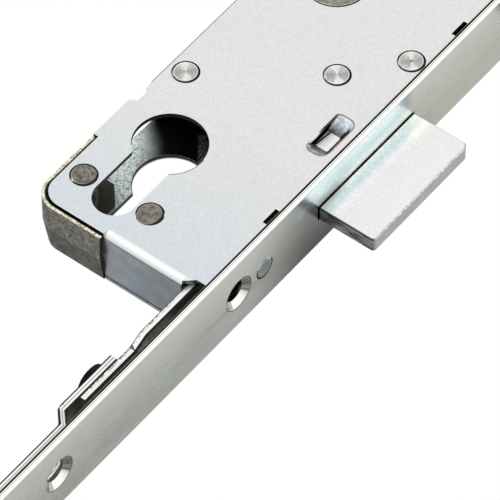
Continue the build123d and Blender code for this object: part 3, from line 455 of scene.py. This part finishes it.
def screw_cones(g, colour):
    """Countersinks of the faceplate: faceted cones, a white painted highlight, a bore in painted
    shade, a dark rim.
    """
    x, y, z = g.axes(g.place)
    distances, heights = [], []
    for height in SCREW_HEIGHTS:
        up = g.minus(z, height * MM)
        distance = g.math("SQRT", g.plus(g.times(y, y), g.times(up, up)))
        distances.append(distance)
        heights.append(g.times(up, g.over(distance, 6.0, 6.1, 1.0, 0.0)))
    radial = g.fold("MINIMUM", distances)
    sideways, upward = g.divide(y, radial), g.divide(g.plus(*heights), radial)
    heading = g.node("ShaderNodeCombineXYZ")
    g.link(sideways, heading.inputs[1])
    g.link(upward, heading.inputs[2])
    spokes = g.node("ShaderNodeTexNoise")
    g.link(heading.outputs[0], spokes.inputs["Vector"])
    spokes.inputs["Scale"].default_value = 3.2
    facet = g.plus(g.times(spokes.outputs["Fac"], 0.7), g.times(g.noise(900, 3, 0.75), 0.3))
    cone = g.mix(g.ramp(facet, 0.42, 0.58), (0.85, 0.85, 0.80), (0.22, 0.215, 0.19))
    # A white painted highlight on one side of each cone.
    sector = g.plus(g.times(sideways, 0.97), g.times(upward, 0.22))
    cone = g.mix(g.ramp(sector, 0.72, 0.82), cone, WHITE)

    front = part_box("faceplate")[1].x / MM
    sunk = g.over(radial, SCREW_CONE, SCREW_CONE + 0.1, 1.0, 0.0)
    sunk = g.times(g.over(x, front - 0.12, front - 0.06, 1.0, 0.0), sunk)
    colour = g.mix(sunk, colour, cone)
    # The bores are painted dark: painted shade.
    bore = g.over(radial, SCREW_BORE, SCREW_BORE + 0.1, 1.0, 0.0)
    colour = g.mix(bore, colour, (0.10, 0.10, 0.09))
    rim = g.band(radial, SCREW_CONE - 0.18, SCREW_CONE + 0.02, 0.06)
    return g.mix(rim, colour, (0.07, 0.065, 0.05))


def face_strip(name):
    """Faceplate: satin face with cool and olive clouds, screw cones and a sheared edge with a
    painted shade line.
    """
    g, colour, streak, fleck, rough = satin_strip(
        name, (0.77, 0.77, 0.68), (0.58, 0.58, 0.50), 0.27
    )
    x, y = g.axes(g.place)[:2]
    colour = screw_cones(g, face_clouds(g, colour))
    rear, side = (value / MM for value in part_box("faceplate")[0][:2])
    edge_x = g.plus(x, g.times(g.noise(500, 2, 0.5, (1, 1, 0.1)), 0.12 * MM))
    line = g.band(edge_x, rear + 0.95, rear + 1.15, 0.05)
    sheared = g.mix(line, (0.97, 0.97, 0.95), (0.5, 0.5, 0.47))
    # A black painted shade line along the rear of the near edge.
    rear_edge_shade = g.over(edge_x, rear + 0.68, rear + 0.76, 1.0, 0.0)
    sheared = g.mix(rear_edge_shade, sheared, (0.01, 0.01, 0.009))
    colour = g.mix(g.over(y, side + 0.05, side + 0.12, 1.0, 0.0), colour, sheared)
    return finish_strip(g, colour, streak, fleck, rough)


def drive_strip(name, inside, outside, bends, gritty):
    """Drive strip: satin faces, a front in painted shade, bright cut edges between dark corner
    lines.

    inside and outside are the middles of the strip's two runs across the case, and bends are
    the pairs of heights between which it steps from the one to the other.
    """
    g, colour, streak, fleck, rough = satin_strip(
        name, (0.78, 0.78, 0.73), (0.58, 0.57, 0.52), 0.32
    )
    x, _, z = g.axes(g.place)
    nx, ny = g.axes(g.way)[:2]
    middle = inside * MM
    for start, stop in bends:
        step = (outside - inside) * MM
        ends = (step, 0.0) if start > stop else (0.0, step)
        middle = g.plus(g.over(z, *sorted((start, stop)), *ends), middle)
    off = g.minus(x, middle)
    away = g.size(off)
    # The front face is painted dark: painted shade in the gap behind the faceplate.
    colour = g.mix(g.ramp(nx, 0.6, 0.8), colour, (0.17, 0.17, 0.13))
    clean = g.ramp(g.noise(600, 2, 0.5, (1, 1, 0.1)), 0.4, 0.7)
    clean = g.mix(clean, (0.97, 0.97, 0.95), (0.86, 0.85, 0.81))
    if gritty:
        grit = g.ramp(g.noise(2400, 3, 0.8, (1, 1, 0.6)), 0.47, 0.56)
        grit = g.mix(grit, (0.97, 0.98, 0.97), (0.22, 0.25, 0.26))
        uneven = g.plus(off, g.times(g.noise(900, 2), 0.6 * MM))
        clean = g.mix(g.over(uneven, -0.1, 0.35, 1.0, 0.0), clean, grit)
    else:
        clean = g.mix(g.over(away, 0.08, 0.16, 0.8, 0.0), clean, (0.16, 0.15, 0.13))
    clean = g.mix(g.over(away, 0.58, 0.66), clean, (0.018, 0.017, 0.015))
    colour = g.mix(g.ramp(ny, -0.45, -0.25, 1.0, 0.0), colour, clean)
    return finish_strip(g, colour, streak, fleck, rough)


# Blank steel, plain metal and riveted ends

def bracket_rim(g, colour, near):
    """Corner bracket's tones: painted light and shade at a crease, base and end in painted shade, a
    pale granular rim.
    """
    x, y, z = g.axes(g.place)
    ny = g.axes(g.way)[1]
    low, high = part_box("corner_bracket")
    # Painted shade beyond the crease, and a pale painted highlight along it.
    crease = g.plus(y, g.times(g.noise(300, 3), 0.5 * MM))
    colour = g.mix(g.over(crease, 0.1, 0.9, 0.0, 0.38), colour, (0.11, 0.10, 0.085))
    colour = g.mix(g.times(g.band(crease, 0.1, 0.3, 0.12), 0.35), colour, (0.66, 0.64, 0.58))
    # The base's near face is painted near black: painted shade.
    base = g.times(g.over(y, 4.9, 5.1), g.ramp(ny, -0.7, -0.5, 1.0, 0.0))
    colour = g.mix(base, colour, (0.05, 0.046, 0.036))

    # Depth from the outline of the wall, round its corner.
    reach = BRACKET_ROUND * MM
    legs = [
        g.math("MAXIMUM", g.minus(corner + reach, value), 0.0)
        for corner, value in ((low.x, x), (low.z, z))
    ]
    depth = g.minus(reach, g.math("SQRT", g.plus(*(g.times(leg, leg) for leg in legs))))
    grit = g.ramp(g.noise(1900, 3, 0.8), 0.44, 0.58)
    cream = g.mix(grit, (0.99, 0.97, 0.86), (0.40, 0.32, 0.18))
    # The rim's inner side is painted dark: painted shade in the gap by the cover.
    inner = g.plus(depth, g.times(g.noise(900, 3, 0.7), 0.4 * MM))
    cream = g.mix(g.over(inner, 0.84, 0.96), cream, (0.06, 0.048, 0.03))
    # The bracket's end is painted near black: painted shade in the gap by the flange.
    last = high.x / MM
    colour = g.mix(g.over(x, last - 0.14, last - 0.1), colour, (0.02, 0.02, 0.018))
    facing = g.ramp(ny, -0.6, -0.3, 1.0, 0.0)
    close = g.over(y, near + 0.3, near + 0.4, 1.0, 0.0)
    return g.mix(g.times(facing, close), colour, cream)


def raw_steel(name, base, dark, light, near=None):
    """Dark blank steel, mottled and pitted; near is where the bracket's rim lies, if it has one."""
    rough = 0.5
    g = Graph(name)
    mottle = g.noise(420, 5, 0.7)
    spots = g.noise(1300, 3, 0.75)
    cloud = g.noise(90, 3)
    colour = g.mix(g.ramp(mottle, 0.36, 0.64), base, dark)
    colour = g.mix(g.ramp(cloud, 0.4, 0.7, 0.0, 0.4), colour, (0.30, 0.275, 0.235))
    colour = g.mix(g.ramp(spots, 0.53, 0.68, 0.0, 0.8), colour, light)
    colour = g.mix(g.ramp(g.noise(1100, 2), 0.54, 0.64, 0.0, 0.55), colour, (0.05, 0.05, 0.045))
    if near is not None:
        colour = bracket_rim(g, colour, near)
    g.set("Base Color", colour)
    g.set("Metallic", 0.9)
    g.set("Roughness", g.ramp(spots, 0.3, 0.7, rough - 0.12, rough + 0.12))
    g.bump((mottle, 0.10, 0.35), (spots, 0.05, 0.45))
    return g.material


def plain_metal(name, base, other, rough, scale=600, metallic=1.0):
    """Cut, turned or cast metal with fine uneven tone."""
    g = Graph(name)
    tone = g.noise(scale, 4, 0.6)
    g.set("Base Color", g.mix(g.ramp(tone, 0.35, 0.7), base, other))
    g.set("Metallic", metallic)
    g.set("Roughness", g.ramp(g.noise(scale * 0.7, 3), 0.3, 0.7, rough - 0.06, rough + 0.1))
    g.bump((tone, 0.04, 0.3))
    return g.material


def turned_ends(name, centres, radius, tones, rough, plane="xz", dot=0.0, pitch=0.55, fan=0.0):
    """Riveted ends: turned rings round each centre, a dark seam at the rim with painted highlights,
    a dished middle.

    tones are the base and the darker colour, plane the two axes that the centres are on, dot
    the radius of a dark middle, and pitch the distance of the rings. fan is the strength of the
    painted sheen: pale and dark wedges of a turned face.
    """
    base, other = tones
    pale = tuple(min(1.0, 1.6 * value) for value in base)
    g = Graph(name)
    axes = dict(zip("xyz", g.axes(g.place)))
    distances, wedges, rearwards = [], [], []
    for first, second in centres:
        along = g.minus(axes[plane[0]], first * MM)
        up = g.minus(axes[plane[1]], second * MM)
        far = g.math("SQRT", g.plus(g.times(along, along), g.times(up, up)))
        own = g.over(far, radius + 1, radius + 1.1, 1.0, 0.0)
        distances.append(far)
        wedges.append(g.times(g.divide(g.times(along, up), g.times(far, far)), -2.0, own))
        rearwards.append(g.times(g.divide(along, far), -1.0, own))
    nearest = g.fold("MINIMUM", distances)
    wedge, rearward = g.plus(*wedges), g.plus(*rearwards)

    ring = g.plus(nearest, g.times(g.noise(700, 3), 0.18 * MM))
    wave = g.math("SINE", g.times(ring, math.tau / (pitch * MM)))
    tone = g.noise(900, 4, 0.7)
    colour = g.mix(g.ramp(tone, 0.38, 0.62), base, other)
    dark_ring = tuple(0.45 * value for value in other)
    colour = g.mix(g.ramp(wave, -0.4, 1.0, 0.0, 0.28), colour, dark_ring)
    # Pale and dark wedges of a turned face: painted sheen.
    if fan:
        uneven = g.plus(wedge, g.times(g.minus(g.noise(500, 2), 0.5), 1.2))
        colour = g.mix(g.ramp(uneven, 0.3, 1.0, 0.0, fan, True), colour, pale)
        half_dark = tuple(0.5 * value for value in base)
        colour = g.mix(g.ramp(uneven, -0.2, -1.0, 0.0, fan, True), colour, half_dark)
    # A pale painted highlight ring inside the seam.
    bright = g.times(g.band(nearest, radius - 0.85, radius - 0.6, 0.1), 0.5)
    colour = g.mix(bright, colour, pale)

    leaning = g.minus(nearest, g.times(rearward, 0.16 * MM))
    colour = g.mix(g.over(leaning, radius - 0.58, radius - 0.46), colour, (0.03, 0.028, 0.025))
    # A pale painted highlight crescent at the rim, on one side.
    crescent_highlight = g.times(
        g.over(nearest, radius - 0.62, radius - 0.5),
        g.ramp(rearward, 0.44, 0.56),
        g.ramp(rearward, 0.91, 1.03, 1.0, 0.0),
    )
    colour = g.mix(crescent_highlight, colour, (0.9, 0.92, 0.92))
    if dot:
        colour = g.mix(g.over(nearest, dot, dot + 0.1, 0.6, 0.0), colour, (0.12, 0.10, 0.09))
    g.set("Base Color", colour)
    g.set("Metallic", 1.0)
    g.set("Roughness", g.ramp(g.noise(500, 3), 0.3, 0.7, rough - 0.06, rough + 0.1))
    g.bump((wave, 0.02, 0.35), (tone, 0.04, 0.3), (nearest, 60.0, 0.12))
    return g.material


def middle_of(node):
    """Middle of a node's box on x and z, in millimetres."""
    low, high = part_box(node)
    return (low.x + high.x) / 2 / MM, (low.z + high.z) / 2 / MM


def ends_of(node, size):
    """Middles of round ends of that size in the corners of a node's box, in millimetres."""
    low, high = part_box(node)
    return [
        (x, z)
        for z in (low.z / MM + size / 2, high.z / MM - size / 2)
        for x in (low.x / MM + size / 2, high.x / MM - size / 2)
    ]


# The materials and the nodes that they go on

GREY_TURNED = ((0.66, 0.66, 0.63), (0.46, 0.46, 0.44))
DARK_TURNED = ((0.34, 0.315, 0.27), (0.13, 0.12, 0.10))
STUD_TURNED = ((0.44, 0.46, 0.44), (0.27, 0.285, 0.27))
HUB_TURNED = ((0.40, 0.40, 0.34), (0.20, 0.20, 0.165))
RIVET_SEAM = 3.45               # outer radius of a rivet's seam in the case's plates
STUD_SEAM = 2.98                # and of a case stud's seam in the faceplate
CORNER_RIVET = 6.3              # diameter of the corner and roof rivets
STUD_INSET = 4.5                # from the case studs' outer ends to their middles
HUB_SEAM = 8.25
HUB_INSET = 11.5                # from the hub's lowest point to its axis
SLIDE_RUNS = (28.3, 29.2)       # x of the slide's middle inside the case and outside it
SLIDE_BENDS = ((-45.2, -50.3), (134.0, 139.1))
BAR_BENDS = ((-72.6, -77.4), (161.4, 166.2))
HALF_BAR = 1.0                  # half the thickness of a drive bar

plate_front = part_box("faceplate")[1].x / MM
bar_rear, bar_front = (corner.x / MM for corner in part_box("drive_bar_lower"))
stud_centres = [
    (0.0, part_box("case_studs")[0].z / MM + STUD_INSET),
    (0.0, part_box("case_studs")[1].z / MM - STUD_INSET),
]
hub_axis = (0.0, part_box("follower_hub")[0].z / MM + HUB_INSET)

case_zinc = plain_sheet("case_zinc", (0.74, 0.75, 0.75), (0.6, 0.66, 0.68), 0.36, False)
lid_zinc = plain_sheet("lid_zinc")
hook_steel = plain_sheet("hook_steel", (0.74, 0.75, 0.745), (0.62, 0.65, 0.655), 0.34, False)
bracket_steel = raw_steel(
    "bracket_steel", (0.44, 0.43, 0.375), (0.17, 0.165, 0.14), (0.62, 0.60, 0.53),
    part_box("corner_bracket")[0].y / MM,
)
feet_steel = raw_steel("feet_steel", (0.30, 0.29, 0.25), (0.17, 0.16, 0.135), (0.5, 0.47, 0.4))
slide_zinc = drive_strip("slide_zinc", *SLIDE_RUNS, SLIDE_BENDS, True)
bar_zinc = drive_strip("bar_zinc", bar_rear + HALF_BAR, bar_front - HALF_BAR, BAR_BENDS, False)
drive_zinc = finish_strip(*satin_strip("drive_zinc", (0.80, 0.80, 0.76), (0.62, 0.61, 0.56), 0.34))
roller_steel = finish_strip(
    *satin_strip("roller_steel", (0.72, 0.72, 0.70), (0.55, 0.55, 0.53), 0.28, (0.05, 1, 1))
)
rivet_bright = plain_metal("rivet_bright", (0.60, 0.60, 0.57), (0.42, 0.42, 0.40), 0.36)
dome_black = plain_metal("dome_black", (0.020, 0.013, 0.014), (0.008, 0.005, 0.006), 0.5, 300)
spring_wire = plain_metal("spring_wire", (0.34, 0.34, 0.34), (0.2, 0.2, 0.2), 0.3, 500)
# Near-black bevel edges: partly a sheared edge's own colour, partly painted shade.
cut_edge_and_shade = plain_metal("cut_edge_and_shade", (0.13, 0.13, 0.125), (0.05, 0.05, 0.048), 0.45, 900, 0.8)

finish_of = {
    "case_cover": cover_sheet("cover_zinc"),
    "case_tray": tray_sheet("tray_zinc"),
    "faceplate": face_strip("faceplate_satin"),
    "corner_bracket": bracket_steel,
    "corner_rivets": turned_ends(
        "corner_turned", ends_of("corner_rivets", CORNER_RIVET), RIVET_SEAM, DARK_TURNED, 0.42,
        pitch=0.8,
    ),
    "roof_rivets": turned_ends(
        "roof_turned", ends_of("roof_rivets", CORNER_RIVET), RIVET_SEAM, GREY_TURNED, 0.36
    ),
    "case_studs": turned_ends("stud_turned", stud_centres, STUD_SEAM, STUD_TURNED, 0.4, "yz"),
    "follower_hub": turned_ends("hub_zinc", [hub_axis], HUB_SEAM, HUB_TURNED, 0.36, pitch=1.1),
    "deadbolt": bolt_block("bolt_zinc", "deadbolt", plate_front, 1.0),
    "latch_bolt": bolt_block("latch_zinc", "latch_bolt", plate_front, 0.0),
    "tumbler": drive_zinc,
    "follower_sector": drive_zinc,
    "drive_slide": slide_zinc,
    "splice_rivets": dome_black,
    "latch_spring_peg": rivet_bright,
}
for name, dot in (("spring_post", 0.0), ("tumbler_post", 0.0), ("slide_guide_post", 0.35)):
    finish_of[name] = turned_ends(
        f"{name}_turned", [middle_of(name)], RIVET_SEAM, GREY_TURNED, 0.34, dot=dot, fan=0.6
    )
for name in ("tumbler_spring", "latch_spring", "follower_spring"):
    finish_of[name] = spring_wire
for name, finish in (
    ("hook_case", case_zinc), ("hook_case_cover", lid_zinc), ("hook_case_feet", feet_steel),
    ("hook_pivot", rivet_bright), ("hook_lugs", drive_zinc), ("hook_drive_pin", rivet_bright),
    ("hook", hook_steel), ("drive_bar", bar_zinc), ("roller", roller_steel),
    ("roller_pin", rivet_bright),
):
    for end in ("upper", "lower"):
        finish_of[f"{name}_{end}"] = finish
for name, finish in finish_of.items():
    part = nodes[name]
    part.data.materials.clear()
    part.data.materials.append(finish)


def soften(name, width, dark):
    """Small bevel on a node's sharp edges, dark where asked: a sheared edge's colour and painted
    shade.
    """
    part = nodes[name]
    weld = part.modifiers.new("weld", "WELD")
    weld.merge_threshold = 0.001 * MM
    bevel = part.modifiers.new("edge", "BEVEL")
    bevel.width = width * MM
    bevel.segments = 2
    bevel.limit_method = "ANGLE"
    bevel.angle_limit = math.radians(35)
    bevel.use_clamp_overlap = True
    bevel.harden_normals = False
    if dark:
        part.data.materials.append(cut_edge_and_shade)
        bevel.material = 1


for name, width in (("case_cover", 0.24), ("case_tray", 0.2)):
    soften(name, width, True)
for name in ("faceplate", "corner_bracket", "drive_slide", "drive_bar_lower", "drive_bar_upper"):
    soften(name, 0.1, False)


# World: plain white to the camera. The light, and what metal reflects, is white on the
# cover's side and fades to a cool quarter of that behind and below the lock. The chooser
# takes glossy and transmission rays too, but both its backgrounds give them that same light.

FADE_TOWARDS = (0, 1.0, -0.5)
LEAST_LEVEL = 0.27
COOL_LIGHT = (0.90, 0.96, 1.0)

world = bpy.data.worlds.new("studio")
bpy.context.scene.world = world
world.use_nodes = True
world.node_tree.nodes.clear()
w = Wiring(world.node_tree)
rays = w.node("ShaderNodeLightPath").outputs
aim = w.node("ShaderNodeVectorMath", operation="DOT_PRODUCT")
w.link(w.node("ShaderNodeTexCoord").outputs["Generated"], aim.inputs[0])
aim.inputs[1].default_value = FADE_TOWARDS
level = w.ramp(aim.outputs["Value"], -0.35, 1.05, 1.0, LEAST_LEVEL, True)
tint = w.mix(level, COOL_LIGHT, WHITE)
room = w.node("ShaderNodeBackground")
w.link(tint, room.inputs[0])
w.link(level, room.inputs[1])
shown = w.node("ShaderNodeBackground")
w.link(w.mix(rays["Is Camera Ray"], tint, WHITE), shown.inputs[0])
w.link(w.math("MAXIMUM", rays["Is Camera Ray"], level), shown.inputs[1])
seen = w.plus(rays["Is Camera Ray"], rays["Is Glossy Ray"])
seen = w.math("ADD", seen, rays["Is Transmission Ray"], use_clamp=True)
choose = w.node("ShaderNodeMixShader")
w.link(seen, choose.inputs[0])
w.link(room.outputs[0], choose.inputs[1])
w.link(shown.outputs[0], choose.inputs[2])
w.link(choose.outputs[0], w.node("ShaderNodeOutputWorld").inputs[0])


def lamp(name, location, size, power):
    """Soft square area lamp pointed at the origin, in metres and watts."""
    data = bpy.data.lights.new(name, "AREA")
    data.shape = "RECTANGLE"
    data.size = data.size_y = size
    data.energy = power
    made = bpy.data.objects.new(name, data)
    bpy.context.scene.collection.objects.link(made)
    made.location = location
    made.rotation_mode = "QUATERNION"
    made.rotation_quaternion = (-Vector(location)).to_track_quat("-Z", "Y")


lamp("key_lamp", (0.9, -1.3, 0.7), 0.7, 2.2)
lamp("fill_lamp", (-0.6, -0.9, -0.8), 0.6, 0.8)


# Floor: a round sheet of pale paper under the lock's foot

FLOOR_RADIUS = 0.32
FLOOR_SIDES = 64

mesh = bpy.data.meshes.new("studio_floor")
form = bmesh.new()
angles = (math.tau * k / FLOOR_SIDES for k in range(FLOOR_SIDES))
form.faces.new([
    form.verts.new((FLOOR_RADIUS * math.cos(t), FLOOR_RADIUS * math.sin(t), 0)) for t in angles
])
form.to_mesh(mesh)
form.free()
floor = bpy.data.objects.new("studio_floor", mesh)
floor.location = (0, 0, cad_box[0].z)
bpy.context.scene.collection.objects.link(floor)
paper = Graph("floor_paper")
paper.set("Base Color", paper.mix(paper.noise(30, 3), (0.86, 0.86, 0.85), (0.9, 0.9, 0.89)))
paper.set("Roughness", 0.8)
mesh.materials.append(paper.material)


# Camera at the photograph's angle: the lock's height runs up to the right of the frame, and
# the camera looks down on the cover and the faceplate

TURN = math.radians(52.07)      # of the lock's height, from the frame's right
RISE = math.radians(51.17)      # of the camera, above the plane of x and z
DISTANCE = 1350.0
RIGHT_SHIFT, DOWN_SHIFT = 18.06, 24.03   # of the camera, in its own plane
PIXELS_PER_MM = 4.426           # at the cover, in a frame of 500 x 500
FRAME_PIXELS = 500
SENSOR_WIDTH = 36
COVER_FACE = -8

right = Vector((math.sin(TURN), 0, math.cos(TURN)))
away = Vector((-math.cos(TURN), 0, math.sin(TURN)))
outward = Vector((0, -1, 0))
camera_up = away * math.sin(RISE) + outward * math.cos(RISE)
back = -away * math.cos(RISE) + outward * math.sin(RISE)
shift = right * RIGHT_SHIFT - camera_up * DOWN_SHIFT + back * DISTANCE
camera_data = bpy.data.cameras.new("camera")
camera = bpy.data.objects.new("camera", camera_data)
bpy.context.scene.collection.objects.link(camera)
bpy.context.scene.camera = camera
camera.matrix_world = (
    Matrix.Translation((Vector((0, COVER_FACE, 0)) + shift) * MM)
    @ Matrix((right, camera_up, back)).transposed().to_4x4()
)
camera_data.sensor_fit = "HORIZONTAL"
camera_data.sensor_width = SENSOR_WIDTH
camera_data.lens = PIXELS_PER_MM * DISTANCE * SENSOR_WIDTH / FRAME_PIXELS
camera_data.clip_start, camera_data.clip_end = 0.05, 20

bpy.context.scene.view_settings.view_transform = "Standard"
